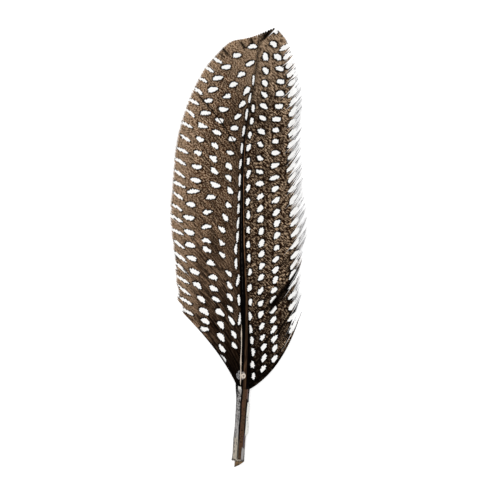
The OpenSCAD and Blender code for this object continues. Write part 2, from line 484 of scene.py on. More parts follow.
@dataclass(frozen=True)
class VaneFinish:
    """Brown barbs with pale spots and a fine light hatch between them, and painted shade in the gaps
    and creases between barbs.
    """

    name: str
    black: Colour = linear((4, 2, 1))
    dark: Colour = linear((28, 13, 4))
    mid: Colour = linear((90, 59, 37))
    low_mid: Colour = linear((140, 112, 88))
    light: Colour = linear((228, 197, 163))
    tan: Colour = linear((182, 154, 126))
    pale: Colour = linear((255, 254, 252))
    hair_dark: Colour = linear((50, 44, 42))
    hair_pale: Colour = linear((192, 192, 197))
    bars: Span = (2.4, 2.0)
    bar_edge: Span = (0.5, 0.56)
    bar_slant: float = 0.8
    streaks: float = 1.2
    hatch: float = 0.72
    low_hatch: float = 0.2
    gain: Span = (0.45, 1.0)
    edge: float = 0.972
    edge_tan: float = 0.75
    tip_tan: float = 0.75
    outer_gaps: float = 0.3
    halo: float = 1.0
    hair_span: Span = (0.45, 0.58)
    wobble: float = 0.4
    grain_scale: tuple[float, float, float] = (2.6, 2.1, 0.0)
    drift_scale: tuple[float, float, float] = (0.11, 0.13, 0.0)
    gap_scale: tuple[float, float, float] = (0.05, 0.8, 0.0)
    line_scale: float = 1.1
    surface: Surface = Surface(0.25, 0.04, 0.01)
    zones: VaneZones = VaneZones()

    def build(self, effects: SharedEffects) -> bpy.types.Material:
        """Build the material.

        Args:
            effects: the shared node groups.

        Returns:
            The material.
        """
        material, sheet, shader = new_material(self.name)
        at = self._read(sheet, effects)
        ground = self._ground(sheet, at)
        ground = self._gap_shade_and_dark_rings(sheet, at, ground)
        ground = self._ends(sheet, at, ground)
        colour = sheet.mix(self._spot(sheet, at), ground, self.pale)
        lines = sheet.put("TexWave", {"Vector": at.barb, "Scale": self.line_scale, "Distortion": 0.6,
                                      "Detail": 1.0}, wave_type="BANDS", bands_direction="X")
        self.surface.dress(sheet, shader, colour, sheet.span(at.grain, 0.3, 0.7, 0.58, 0.75),
                           lines.outputs[1])
        return material

    def _read(self, sheet: NodeSheet, effects: SharedEffects) -> BarbSockets:
        """Read a point's place on its barb and how deep it lies in a spot.

        Args:
            sheet: the material's sheet.
            effects: the shared node groups.

        Returns:
            What the shader reads.
        """
        barb = sheet.attribute("barb")
        along, root, share = sheet.put("SeparateXYZ", {0: barb}).outputs
        crease = sheet.put("Attribute", attribute_name="crease").outputs["Fac"]
        grain = sheet.noise(sheet.vector("MULTIPLY", barb, self.grain_scale), 1.0, 1.0)
        wobble = sheet.sum("MULTIPLY", sheet.sum("SUBTRACT", grain, 0.5), self.wobble)
        depths = [
            sheet.group(effects.depth, {"Along": sheet.sum("ADD", along, wobble),
                                        "Centres": sheet.attribute("centres_" + part),
                                        "Halves": sheet.attribute("halves_" + part)}).outputs[0]
            for part in "ab"]
        depth = sheet.sum("MAXIMUM", *depths)
        rim = sheet.span(share, self.edge, self.edge + self.zones.rim_share)
        streak = sheet.noise(sheet.vector("MULTIPLY", barb, (0.15, self.streaks, 0.0)), 1.0, 2.0, 0.7)
        return BarbSockets(barb, along, root, share, grain, depth, rim, crease, streak)

    def _spot(self, sheet: NodeSheet, at: BarbSockets) -> bpy.types.NodeSocket:
        """Mask of the spots, which rims, creases and the lowest barbs hide.

        Args:
            sheet: the material's sheet.
            at: what the shader reads.

        Returns:
            The mask.
        """
        spot = sheet.span(at.depth, -0.06, 0.1)
        for hide in (at.rim, sheet.span(at.crease, 0.5, 0.8),
                     sheet.span(at.root, *self.zones.bare_foot, 1.0, 0.0)):
            spot = sheet.sum("MULTIPLY", spot, sheet.sum("SUBTRACT", 1.0, hide))
        return spot

    def _ground(self, sheet: NodeSheet, at: BarbSockets) -> bpy.types.NodeSocket:
        """Brown ground with its hatch, its tan outer zone and its dark specks.

        Args:
            sheet: the material's sheet.
            at: what the shader reads.

        Returns:
            The ground's colour.
        """
        zones = self.zones
        clear = sheet.span(at.depth, -1.05 * self.halo, -0.3, 1.0, 0.1)
        level = sheet.sum("MULTIPLY_ADD", at.root, self.bar_slant, at.along)
        place = sheet.put("CombineXYZ", {0: level, 1: at.root, 2: 0.0}).outputs[0]
        bars = sheet.noise(sheet.vector("MULTIPLY", place, (*self.bars, 0.0)), 1.0, 2.0, 0.55, 0.4)
        drift = sheet.noise(sheet.vector("MULTIPLY", place, self.drift_scale), 1.0, 2.0)
        line = sheet.span(at.streak, 0.42, 0.6, 0.1, 1.0)
        lit = sheet.sum("MAXIMUM", sheet.span(at.root, *zones.shaded_foot, 0.35, 1.0),
                        sheet.span(at.share, *zones.lit_share, 0.0, 0.95))
        gain = sheet.span(at.share, *zones.bright_share, *self.gain)
        for factor in (sheet.span(drift, 0.3, 0.65, 0.65, 1.1), lit, clear):
            gain = sheet.sum("MULTIPLY", gain, factor)
        middle = sheet.mix(sheet.span(at.root, *zones.lower), self.low_mid, self.mid)
        ground = sheet.mix(sheet.sum("MULTIPLY", gain, line), self.dark, middle)
        hatch = sheet.span(bars, *self.bar_edge)
        for factor in (gain, sheet.sum("MULTIPLY_ADD", line, 0.6, 0.4),
                       sheet.span(at.root, *zones.lower, self.low_hatch, self.hatch)):
            hatch = sheet.sum("MULTIPLY", hatch, factor)
        ground = sheet.mix(hatch, ground, self.light)
        outer = sheet.sum("MULTIPLY", sheet.span(at.share, *zones.outer_share),
                          sheet.span(at.root, *zones.outer_foot))
        outer = sheet.sum("MAXIMUM", sheet.sum("MULTIPLY", outer, self.edge_tan),
                          sheet.span(at.root, *zones.tip, 0.0, self.tip_tan))
        outer = sheet.sum("MULTIPLY", outer, clear)
        ground = sheet.mix(sheet.sum("MULTIPLY", outer, sheet.span(bars, 0.4, 0.57, 0.25, 1.1)),
                           ground, self.tan)
        ground = sheet.mix(sheet.span(bars, 0.34, 0.46, 0.6, 0.0), ground, self.dark)
        return sheet.mix(sheet.span(at.along, *zones.beside_shaft, 0.5, 0.0), ground, self.black)

    def _gap_shade_and_dark_rings(self, sheet: NodeSheet, at: BarbSockets,
                ground: bpy.types.NodeSocket) -> bpy.types.NodeSocket:
        """Paint shade into the gaps between barbs, and darken the vane's foot and the rings round the
        spots.

        Args:
            sheet: the material's sheet.
            at: what the shader reads.
            ground: the colour so far.

        Returns:
            The darkened colour.
        """
        zones = self.zones
        # painted shade: black gaps between groups of barbs, strongest low on the vane
        gap_shade = sheet.noise(sheet.vector("MULTIPLY", at.barb, self.gap_scale), 1.0, 2.0, 0.6)
        gap_shade = sheet.sum("MULTIPLY", sheet.span(gap_shade, 0.42, 0.52, 1.0, 0.0),
                         sheet.span(at.root, *zones.gapped, 0.9, 0.0))
        gap_shade = sheet.sum("MULTIPLY", gap_shade, sheet.span(at.share, *zones.gap_share, 1.0, self.outer_gaps))
        low = sheet.sum("MULTIPLY", sheet.span(at.root, *zones.black_foot, 0.85, 0.0),
                        sheet.span(at.share, *zones.black_share, 1.0, 0.0))
        ring = sheet.span(at.depth, -0.7 * self.halo, -0.2, 0.0, 0.85)
        for shade in (gap_shade, low, ring):
            ground = sheet.mix(shade, ground, self.black)
        return ground

    def _ends(self, sheet: NodeSheet, at: BarbSockets,
              ground: bpy.types.NodeSocket) -> bpy.types.NodeSocket:
        """Colour the loose hairs and the barbs' tips, and paint shade into the creases.

        Args:
            sheet: the material's sheet.
            at: what the shader reads.
            ground: the colour so far.

        Returns:
            The colour with its ends.
        """
        hair = sheet.mix(sheet.span(at.streak, *self.hair_span), self.hair_dark, self.hair_pale)
        loose_from = sheet.put("Attribute", attribute_name="loose").outputs["Fac"]
        loose = sheet.sum("SUBTRACT", at.share, loose_from)
        ground = sheet.mix(sheet.span(loose, 0.0, 0.1), ground, hair)
        tips = sheet.mix(sheet.span(at.root, *self.zones.rim_foot), self.dark, self.light)
        ground = sheet.mix(sheet.sum("MULTIPLY", at.rim, 0.3), ground, tips)
        # painted shade: the creases between clumps turn black
        return sheet.mix(at.crease, ground, self.black)


@dataclass(frozen=True)
class ShaftFinish:
    """Near-black horny skin with a brown band that moves to the right flank up the shaft.

    Places are millimetres along the shaft.
    """

    black: Colour = linear((3, 2, 2))
    brown: Colour = linear((82, 60, 42))
    flank: Colour = linear((160, 118, 84))
    gleam: Colour = linear((60, 56, 54))
    fineness: float = 1600.0
    band: Span = (0.27, 0.16)
    band_centre: Span = (0.1, 0.92)
    band_moves: Span = (24.0, 58.0)
    band_dims: Span = (22.0, 32.0)
    band_returns: Span = (60.0, 75.0)
    band_fades: Span = (95.0, 125.0)
    band_lightens: Span = (30.0, 60.0)
    gleam_band: tuple[float, float, float] = (-0.25, 0.08, 0.12)
    gleam_starts: Span = (40.0, 60.0)
    surface: Surface = Surface(0.3, 0.06, 0.01)

    def build(self, effects: SharedEffects) -> bpy.types.Material:
        """Build the material.

        Args:
            effects: the shared node groups.

        Returns:
            The material.
        """
        material, sheet, shader = new_material("shaft_cortex_skin")
        place, across, _ = sheet.put("SeparateXYZ", {0: sheet.attribute("skin")}).outputs
        streaks = effects.streaked(sheet, self.fineness)
        streak = streaks["Streak"]
        shifted = sheet.sum("MULTIPLY_ADD", streak, 0.3, sheet.sum("SUBTRACT", across, 0.15))
        centre = sheet.span(place, *self.band_moves, *self.band_centre)
        ridge = effects.masked(sheet, shifted, centre, *self.band)
        dip = sheet.sum("MAXIMUM", sheet.span(place, *self.band_dims, 1.0, 0.45),
                        sheet.span(place, *self.band_returns, 0.45, 1.0))
        for factor in (sheet.span(streak, 0.4, 0.58, 0.35, 1.0),
                       sheet.span(place, *self.band_fades, 1.0, 0.3), dip):
            ridge = sheet.sum("MULTIPLY", ridge, factor)
        gleam = effects.masked(sheet, shifted, *self.gleam_band)
        gleam = sheet.sum("MULTIPLY", gleam, sheet.span(place, *self.gleam_starts, 0.0, 0.8))
        colour = sheet.mix(sheet.sum("MULTIPLY", gleam, sheet.span(streaks["Mottle"], 0.35, 0.6)),
                           self.black, self.gleam)
        tone = sheet.mix(sheet.span(place, *self.band_lightens), self.brown, self.flank)
        self.surface.dress(sheet, shader, sheet.mix(ridge, colour, tone),
                           sheet.span(streak, 0.3, 0.7, 0.42, 0.6), streak)
        return material


@dataclass(frozen=True)
class SkinSockets:
    """What the sheath's shader reads at a point: its place, its side, its height and its grain."""

    place: bpy.types.NodeSocket
    across: bpy.types.NodeSocket
    height: bpy.types.NodeSocket
    streak: bpy.types.NodeSocket
    mottle: bpy.types.NodeSocket
    mixed: bpy.types.NodeSocket


@dataclass(frozen=True)
class SheathFinish:
    """Dry skin of the barrel, grey on the left, brown over the core, and with a painted highlight as a
    pale rim on the right.

    Places are millimetres along the barrel. Bands lie across it, their centres and halves as
    shares of its radius.
    """

    grey: Colour = linear((158, 155, 153))
    ash: Colour = linear((88, 86, 86))
    beige: Colour = linear((172, 163, 148))
    brown: Colour = linear((76, 58, 42))
    rust: Colour = linear((88, 60, 44))
    dusk: Colour = linear((84, 74, 80))
    mauve: Colour = linear((96, 74, 68))
    black: Colour = linear((10, 8, 7))
    # painted highlight of the right flank's rim; the pale cap at the vane's foot takes it too
    rim: Colour = linear((240, 239, 232))
    fineness: float = 2400.0
    soft: float = 0.06
    beige_ends: Span = (-6.5, -4.0)
    torn_starts: Span = (2.5, 6.5)
    core_band: Span = (0.28, 0.42)
    core_starts: Span = (-14.2, -12.4)
    right_band: Span = (0.68, 0.11)
    right_darkens: Span = (-5.0, -3.0)
    right_reddens: Span = (9.0, 9.6)
    foot_band: Span = (0.62, 0.2)
    foot_ends: Span = (-9.5, -8.5)
    rim_across: Span = (0.78, 0.84)
    rim_starts: Span = (-5.5, -3.5)
    rim_darkens: Span = (7.9, 8.6)
    rim_height: Span = (-0.3, 0.0)
    cap_starts: Span = (12.3, 13.2)
    cap_across: Span = (-0.5, -0.4)
    line_band: Span = (-0.26, 0.15)
    line_starts: Span = (-14.0, -12.5)
    line_deepens: Span = (-9.0, -4.0)
    flecks_end: Span = (-13.6, -12.4)
    left_shade_across: Span = (-1.08, -1.0)
    left_shade_darkens: Span = (1.0, 4.5)
    surface: Surface = Surface(0.5, 0.08, 0.02)

    def build(self, effects: SharedEffects) -> bpy.types.Material:
        """Build the material.

        Args:
            effects: the shared node groups.

        Returns:
            The material.
        """
        material, sheet, shader = new_material("barrel_dry_skin")
        at = self._read(sheet, effects)
        colour = self._core(sheet, effects, at, self._skin(sheet, at))
        colour = self._rim_highlight(sheet, at, colour)
        colour = self._marks(sheet, effects, at, colour)
        self.surface.dress(sheet, shader, colour, sheet.span(at.mottle, 0.3, 0.7, 0.36, 0.62),
                           at.streak)
        return material

    def _read(self, sheet: NodeSheet, effects: SharedEffects) -> SkinSockets:
        """Read a point's place on the skin, which its grain shifts a little.

        Args:
            sheet: the material's sheet.
            effects: the shared node groups.

        Returns:
            What the shader reads.
        """
        place, across, height = sheet.put("SeparateXYZ", {0: sheet.attribute("skin")}).outputs
        streaks = effects.streaked(sheet, self.fineness)
        streak, mottle = streaks["Streak"], streaks["Mottle"]
        wobble = sheet.sum("MULTIPLY", sheet.sum("SUBTRACT", streak, 0.5), 0.22)
        across = sheet.sum("ADD", across, wobble)
        place = sheet.sum("ADD", place, sheet.sum("MULTIPLY", sheet.sum("SUBTRACT", mottle, 0.5), 3.0))
        mixed = sheet.sum("MULTIPLY_ADD", streak, 0.6, sheet.sum("MULTIPLY", mottle, 0.4))
        return SkinSockets(place, across, height, streak, mottle, mixed)

    def _skin(self, sheet: NodeSheet, at: SkinSockets) -> bpy.types.NodeSocket:
        """Grey skin, beige at its foot and torn open towards the vane.

        Args:
            sheet: the material's sheet.
            at: what the shader reads.

        Returns:
            The skin's colour.
        """
        skin = sheet.mix(sheet.span(at.mixed, 0.46, 0.6), self.grey, self.ash)
        skin = sheet.mix(sheet.span(at.place, *self.beige_ends, 1.0, 0.0), skin,
                         sheet.mix(sheet.span(at.mixed, 0.5, 0.62), self.beige, self.ash))
        torn = sheet.sum("MULTIPLY", sheet.span(at.place, *self.torn_starts),
                         sheet.span(at.mottle, 0.47, 0.56, 0.0, 0.85))
        return sheet.mix(torn, skin, self.black)

    def _core(self, sheet: NodeSheet, effects: SharedEffects, at: SkinSockets,
              colour: bpy.types.NodeSocket) -> bpy.types.NodeSocket:
        """Draw the brown core that shows through, and the darker band to its right.

        Args:
            sheet: the material's sheet.
            effects: the shared node groups.
            at: what the shader reads.
            colour: the colour so far.

        Returns:
            The colour with its core.
        """
        core = sheet.mix(sheet.span(at.streak, 0.45, 0.62), self.brown, self.rust)
        core = sheet.mix(sheet.span(at.mottle, 0.54, 0.66, 0.0, 0.8), core, self.black)
        low_end = sheet.span(at.place, *self.core_starts, 0.35, 1.0)
        middle = effects.masked(sheet, at.across, *self.core_band, self.soft)
        colour = sheet.mix(sheet.sum("MULTIPLY", middle, low_end), colour, core)
        right = sheet.mix(sheet.span(at.place, *self.right_darkens), self.dusk, self.black)
        right = sheet.mix(sheet.span(at.place, *self.right_reddens), right, self.mauve)
        side = effects.masked(sheet, at.across, *self.right_band, self.soft)
        colour = sheet.mix(sheet.sum("MULTIPLY", side, low_end), colour, right)
        foot = sheet.sum("MULTIPLY", effects.masked(sheet, at.across, *self.foot_band, self.soft),
                         sheet.span(at.place, *self.foot_ends, 1.0, 0.0))
        return sheet.mix(foot, colour, self.grey)

    def _rim_highlight(self, sheet: NodeSheet, at: SkinSockets,
             colour: bpy.types.NodeSocket) -> bpy.types.NodeSocket:
        """Draw the painted highlight of the pale rim on the right flank, grey low down and on its
        underside, and the pale cap at the vane's foot.

        Args:
            sheet: the material's sheet.
            at: what the shader reads.
            colour: the colour so far.

        Returns:
            The colour with its rim.
        """
        # painted highlight: the pale rim, on top of the right flank only
        rim = sheet.mix(sheet.span(at.mixed, 0.48, 0.62), self.rim, self.grey)
        rim = sheet.mix(sheet.span(at.place, *self.rim_darkens), rim, self.black)
        below = sheet.sum("MAXIMUM", sheet.span(at.place, *self.rim_starts, 1.0, 0.0),
                          sheet.span(at.height, *self.rim_height, 1.0, 0.0))
        rim = sheet.mix(below, rim, self.ash)
        colour = sheet.mix(sheet.span(at.across, *self.rim_across), colour, rim)
        cap = sheet.sum("MULTIPLY", sheet.span(at.place, *self.cap_starts),
                        sheet.span(at.across, *self.cap_across, 0.7, 0.0))
        return sheet.mix(cap, colour, self.rim)

    def _marks(self, sheet: NodeSheet, effects: SharedEffects, at: SkinSockets,
               colour: bpy.types.NodeSocket) -> bpy.types.NodeSocket:
        """Draw the dark line beside the core, the flecks at the foot and painted shade along the left
        edge.

        Args:
            sheet: the material's sheet.
            effects: the shared node groups.
            at: what the shader reads.
            colour: the colour so far.

        Returns:
            The colour with its marks.
        """
        line = sheet.sum("MULTIPLY", effects.masked(sheet, at.across, *self.line_band, self.soft),
                         sheet.span(at.place, *self.line_starts))
        line = sheet.sum("MULTIPLY", line, sheet.span(at.place, *self.line_deepens, 0.8, 1.0))
        flecks = sheet.sum("MULTIPLY", sheet.span(at.place, *self.flecks_end, 1.0, 0.0),
                           sheet.span(at.mottle, 0.43, 0.52, 0.0, 0.85))
        for mark in (line, flecks):
            colour = sheet.mix(mark, colour, self.black)
        # painted shade along the left edge, grey low down and black higher up
        edge = sheet.mix(sheet.span(at.place, *self.left_shade_darkens), self.ash, self.black)
        return sheet.mix(sheet.span(at.across, *self.left_shade_across, 1.0, 0.0), colour, edge)


@dataclass(frozen=True)
class PoreFinish:
    """Crumpled membrane over the pore, grey in its left lobe and pale round its right one."""

    grey: Colour = linear((150, 149, 150))
    dark: Colour = linear((52, 50, 52))
    pale: Colour = linear((222, 208, 192))
    hollow: Colour = linear((128, 120, 116))
    fineness: float = 2600.0
    ring_centre: tuple[float, float, float] = (0.95, -0.1, 0.0)
    ring: tuple[float, float, float] = (0.66, 0.3, 0.3)
    surface: Surface = Surface(0.5, 0.08, 0.05)

    def build(self, effects: SharedEffects) -> bpy.types.Material:
        """Build the material.

        Args:
            effects: the shared node groups.

        Returns:
            The material.
        """
        material, sheet, shader = new_material("pore_membrane")
        off = sheet.attribute("pore")
        x, _, _ = sheet.put("SeparateXYZ", {0: off}).outputs
        streaks = effects.streaked(sheet, self.fineness)
        left = sheet.mix(sheet.span(streaks["Mottle"], 0.44, 0.58), self.grey, self.dark)
        reach = sheet.put("VectorMath", {0: off, 1: self.ring_centre},
                          operation="DISTANCE").outputs["Value"]
        right = sheet.mix(effects.masked(sheet, reach, *self.ring), self.hollow, self.pale)
        right = sheet.mix(sheet.span(streaks["Mottle"], 0.56, 0.7, 0.0, 0.6), right, self.dark)
        self.surface.dress(sheet, shader, sheet.mix(sheet.span(x, 0.0, 0.25), left, right),
                           sheet.span(streaks["Streak"], 0.3, 0.7, 0.5, 0.7), streaks["Mottle"])
        return material


@dataclass(frozen=True)
class PlainFinish:
    """One material in two close tones, streaked along the feather."""

    name: str
    tone: Colour
    other: Colour
    rough: float = 0.5
    fineness: float = 1500.0
    surface: Surface = Surface(0.5, 0.06, 0.2)

    def build(self, effects: SharedEffects) -> bpy.types.Material:
        """Build the material.

        Args:
            effects: the shared node groups.

        Returns:
            The material.
        """
        material, sheet, shader = new_material(self.name)
        streaks = effects.streaked(sheet, self.fineness)
        both = sheet.sum("MULTIPLY_ADD", streaks["Streak"], 0.6,
                         sheet.sum("MULTIPLY", streaks["Mottle"], 0.4))
        colour = sheet.mix(sheet.span(both, 0.36, 0.62), self.tone, self.other)
        rough = sheet.span(streaks["Mottle"], 0.3, 0.7, self.rough - 0.1, self.rough + 0.12)
        self.surface.dress(sheet, shader, colour, rough, streaks["Streak"])
        return material


# ---- meshes ----


def wrapped_grid(bm: bmesh.types.BMesh, along: int, around: int,
                 place: Callable[[int, int], Sequence[float]],
                 notes: dict[bmesh.types.BMLayerItem, Callable[[int, int], Sequence[float]]],
                 creased: bool = False) -> None:
    """Add a grid whose long sides meet, so that it makes a tube.

    Args:
        bm: the mesh.
        along: number of steps along the tube.
        around: number of steps round it.
        place: gives the point for a step along and a step around, in millimetres.
        notes: gives the vectors that each point keeps, by layer.
        creased: whether the edges along the tube stay sharp.
    """
    made = bmesh.ops.create_grid(bm, x_segments=along, y_segments=around, size=0.5)["verts"]
    steps = {v: (round((v.co.x + 0.5) * along), round((v.co.y + 0.5) * around) % around) for v in made}
    for v, (i, k) in steps.items():
        if creased:
            for edge in v.link_edges:
                if steps[edge.other_vert(v)][1] == k:
                    edge.smooth = False
        for layer, note in notes.items():
            v[layer] = note(i, k)
    for v, (i, k) in steps.items():
        v.co = Vector(place(i, k)) * MM


def finish_piece(bm: bmesh.types.BMesh, name: str, slot: Slot, material: bpy.types.Material,
                 replaces: Sequence[str] = (), merge: bool = True) -> bpy.types.Object:
    """Turn a mesh into a finished piece of the feather.

    Args:
        bm: the mesh, which is freed.
        name: the piece's name.
        slot: the record's material slot for the piece; not used.
        material: its material.
        replaces: CAD nodes that it stands for.
        merge: whether points in one place are joined and faces turned outwards.

    Returns:
        The piece.
    """
    if merge:
        bmesh.ops.remove_doubles(bm, verts=bm.verts, dist=MERGE_MM * MM)
        bmesh.ops.recalc_face_normals(bm, faces=bm.faces)
    for face in bm.faces:
        face.smooth = True
    mesh = bpy.data.meshes.new(name)
    bm.to_mesh(mesh)
    bm.free()
    mesh.materials.append(material)
    piece = bpy.data.objects.new(name, mesh)
    bpy.context.scene.collection.objects.link(piece)
    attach(piece, "root")
    if replaces:
        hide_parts(*replaces)
    log.info("%s: %d faces", name, len(mesh.polygons))
    return piece


# ---- vanes ----

BARB_NOTES = ("barb", "centres_a", "centres_b", "halves_a", "halves_b", "crease", "loose")
BARS_PER_BARB = 6
NO_BAR = -99.0


@dataclass(frozen=True)
class SpotColumn:
    """A column of pale spots that runs up one side of the vane."""

    reach: Table
    rows: Table
    length: Span
    width: Span
    lean: Table
    corner: Span = (0.0, 0.09)
    stray: float = 0.12
    share_stray: float = 0.004
    size_stray: float = 0.07
    lean_stray: float = 5.0

    def spots(self, plan: FeatherPlan, side: Side, rng: np.random.Generator) -> list[tuple[float, ...]]:
        """Place the spots.

        Args:
            plan: the feather's plan.
            side: its side.
            rng: source of small irregularities.

        Returns:
            For each spot its x, y, half length, half width, lean in radians, and how
            three-cornered it is and which way.
        """
        numbers = np.arange(self.rows[0][0], self.rows[-1][0] + 1)
        roots = smooth(self.rows, numbers) + rng.normal(0, self.stray, len(numbers))
        shares = smooth(self.reach, roots) + rng.normal(0, self.share_stray, len(numbers))
        x, y, _ = plan.barb(side, roots, shares)
        t = plan.along(roots)
        size = rng.normal(1, self.size_stray, (2, len(numbers)))
        half_length = (self.length[0] + (self.length[1] - self.length[0]) * t) / 2 * size[0]
        half_width = (self.width[0] + (self.width[1] - self.width[0]) * t) / 2 * size[1]
        lean = np.radians(smooth(self.lean, roots) + rng.normal(0, self.lean_stray, len(numbers)))
        corner = rng.uniform(*self.corner, len(numbers))
        turn = rng.uniform(0, 2 * math.pi, len(numbers))
        return list(zip(x, y, half_length, half_width, lean, corner, turn))


@dataclass
class Vane:
    """The barbs of one side, made web by web."""

    side: Side
    plan: FeatherPlan
    webs: Table
    columns: Sequence[SpotColumn]
    finish: VaneFinish
    pitch: float = 0.5
    steps: int = 28
    lanes: int = 4
    samples: int = 121
    cover: float = 1.25
    ridge: float = 0.11
    tilt: float = 0.06
    keel: float = -0.05
    hair_width: float = 0.12
    hair_stray: float = 0.0
    uneven: float = 0.006
    short: float = 0.07
    blunt: float = 0.022
    loose_from: Table = ((13, 2.0), (144, 2.0))
    clump: float = 0.06
    clump_power: float = 4.0
    stray_power: float = 9.0
    ripple: float = 0.16
    lift: float = 0.15
    last_root: float = 142.0
    loose_below: Span = (138.0, 124.0)
    short_below: Span = (23.0, 14.0)
    ragged_below: Span = (50.0, 36.0)
    ragged_share: float = 0.22
    gap_limits: Span = (0.22, 0.62)
    tip_blunt: float = 0.022
    blunt_ends: Span = (130.0, 139.0)
    thick_from: float = 0.3
    buried: float = 0.8
    crease_shades: Table = ()

    def build(self, effects: SharedEffects) -> list[bpy.types.Object]:
        """Build the side's webs.

        Args:
            effects: the shared node groups.

        Returns:
            One piece for each web.
        """
        rng = np.random.default_rng(SEED + self.side.value)
        material = self.finish.build(effects)
        spots = [column.spots(self.plan, self.side, rng) for column in self.columns]
        return [self._web(i, web, spots, material, rng) for i, web in enumerate(self.webs)]

    def _web(self, index: int, web: Sequence[float], spots: list[list[tuple[float, ...]]],
             material: bpy.types.Material, rng: np.random.Generator) -> bpy.types.Object:
        """Build one web.

        Args:
            index: the web's number, from 0.
            web: its first and last root and how far its end barbs' tips stray.
            spots: the side's spots, by column.
            material: its material.
            rng: source of small irregularities.

        Returns:
            The web's piece.
        """
        first, last, stray_first, stray_last = web
        count = round((last - first) / self.pitch)
        share = (np.arange(count) + 0.5) / count
        roots = first + (last - first) * share
        loosened = ease(*self.loose_below, roots)
        pull = self._clumps(roots, rng) * loosened
        jitter = rng.normal(0, 1, (4, count))
        ragged = ease(*self.short_below, roots) + self.ragged_share * ease(*self.ragged_below, roots)
        short = self.short * np.repeat(rng.uniform(0, 1, count), 3)[:count] * ragged

        def centre(f: np.ndarray) -> tuple[np.ndarray, np.ndarray, np.ndarray]:
            """Centre lines of the web's barbs, one row each.

            Args:
                f: shares of the barbs' lengths, one row each.

            Returns:
                The points' x, y and z.
            """
            g = np.clip(f, 0, 1)
            low, high = stray_first * g**self.stray_power, stray_last * g**self.stray_power
            s = roots[:, None] + low * (1 - share[:, None]) - high * share[:, None]
            s = s + pull[:, None] * g**self.clump_power + 0.05 * jitter[0][:, None] * g**2
            s = s + (self.hair_stray * jitter[2] * loosened)[:, None] * g**8
            limit = 1 - (self.uneven * np.abs(jitter[1]) * loosened + short)[:, None]
            x, y, z = self.plan.barb(self.side, np.clip(s, self.plan.vane_start, self.last_root),
                                     f * limit)
            wave = np.sin(0.21 * s + 2.1 * g + self.side.value) * np.sin(5 * g + 0.07 * s)
            return x, y, z + self.ripple * wave * g + self.lift

        fine = np.linspace(0, 1, self.samples)
        fx, fy, _ = centre(np.tile(fine, (count, 1)))
        along = np.concatenate([np.zeros((count, 1)),
                                np.cumsum(np.hypot(np.diff(fx), np.diff(fy)), axis=1)], axis=1)
        centres, halves = self._bars(fx, fy, along, roots, spots, jitter)

        f = np.concatenate([[0.0, 0.0], np.linspace(0, 1, self.steps - 1)])
        inside = np.tile(f, (count, 1))
        inside[:, 0] = -self.buried * self.plan.shaft_half(roots) / along[:, -1]
        inside[:, 1] = 0.85 * inside[:, 0]
        x, y, z = centre(inside)
        distance = np.array([np.interp(f, fine, row) for row in along])
        tx, ty = np.gradient(x, axis=1), np.gradient(y, axis=1)
        size = np.hypot(tx, ty)
        tx, ty = tx / size, ty / size
        sx, sy = np.gradient(x, axis=0), np.gradient(y, axis=0)
        gap = np.clip(np.abs(tx * sy - ty * sx), *self.gap_limits)
        blunt = self.blunt + (self.tip_blunt - self.blunt) * ease(*self.blunt_ends, roots)
        taper = np.sqrt(np.clip((1 - f)[None, :] / blunt[:, None], 0, 1))
        taper[:, 0] = 0.0
        loose_from = smooth(self.loose_from, roots)
        loose = ease(-0.06, 0.06, f[None, :] - loose_from[:, None])
        width = (self.cover * gap * (1 - loose) + self.hair_width * loose) * taper
        rise = np.minimum(1, width / self.thick_from)
        nx, ny = -ty * np.sign(tx), np.abs(tx)
        lanes = ((-0.5, -self.tilt), (-0.08, self.ridge), (0.5, self.tilt), (0.0, self.keel))
        # painted shade of the creases, kept on each point for the shader
        crease = self._crease_shade(roots, inside)

        bm = bmesh.new()
        layers = {key: bm.verts.layers.float_vector.new(key) for key in BARB_NOTES}
        for j in range(count):
            def place(i: int, k: int, j: int = j) -> tuple[float, float, float]:
                """Point of the barb's skin.

                Args:
                    i: step along.
                    k: step around.

                Returns:
                    The point, in millimetres.
                """
                off, up = lanes[k]
                w = off * width[j, i]
                return (x[j, i] + nx[j, i] * w, y[j, i] + ny[j, i] * w, z[j, i] + up * rise[j, i])

            wrapped_grid(bm, self.steps, self.lanes, place, {
                layers["barb"]: lambda i, k, j=j: (distance[j, i], roots[j], f[i]),
                layers["centres_a"]: lambda i, k, j=j: centres[j, :3],
                layers["centres_b"]: lambda i, k, j=j: centres[j, 3:],
                layers["halves_a"]: lambda i, k, j=j: halves[j, :3],
                layers["halves_b"]: lambda i, k, j=j: halves[j, 3:],
                layers["crease"]: lambda i, k, j=j: (crease[j, i],) * 3,
                layers["loose"]: lambda i, k, j=j: (loose_from[j],) * 3}, creased=True)
        side = self.side.name.lower()
        return finish_piece(bm, f"{side}_barbs_{index + 1}", Slot.VANE, material,
                            [f"{side}_web_{index + 1}"])

    def _crease_shade(self, roots: np.ndarray, f: np.ndarray) -> np.ndarray:
        """Painted shade of the deep creases between clumps, for each point of the barbs.

        Args:
            roots: where the barbs leave the shaft.
            f: shares of the barbs' lengths, one row each.

        Returns:
            0 where no shade is painted to 1 for black.
        """
        dark = np.zeros(f.shape)
        for root, start, end, width, strength in self.crease_shades:
            near = np.exp(-((roots - root) / width) ** 2)[:, None]
            dark = np.maximum(dark, near * strength * ease(start, start + 0.1, f)
                              * (1 - ease(end - 0.1, end, f)))
        return dark

    def _clumps(self, roots: np.ndarray, rng: np.random.Generator) -> np.ndarray:
        """Find how far each barb's tip is drawn towards the middle of its clump.

        Args:
            roots: where the barbs leave the shaft.
            rng: source of small irregularities.

        Returns:
            How far each tip moves along the shaft, in millimetres.
        """
        pull = np.zeros(len(roots))
        start = 0
        while start < len(roots):
            end = min(len(roots), start + int(rng.integers(5, 14)))
            middle = roots[start:end].mean()
            pull[start:end] = (middle - roots[start:end]) * self.clump * rng.uniform(0.3, 1.6)
            start = end
        return pull

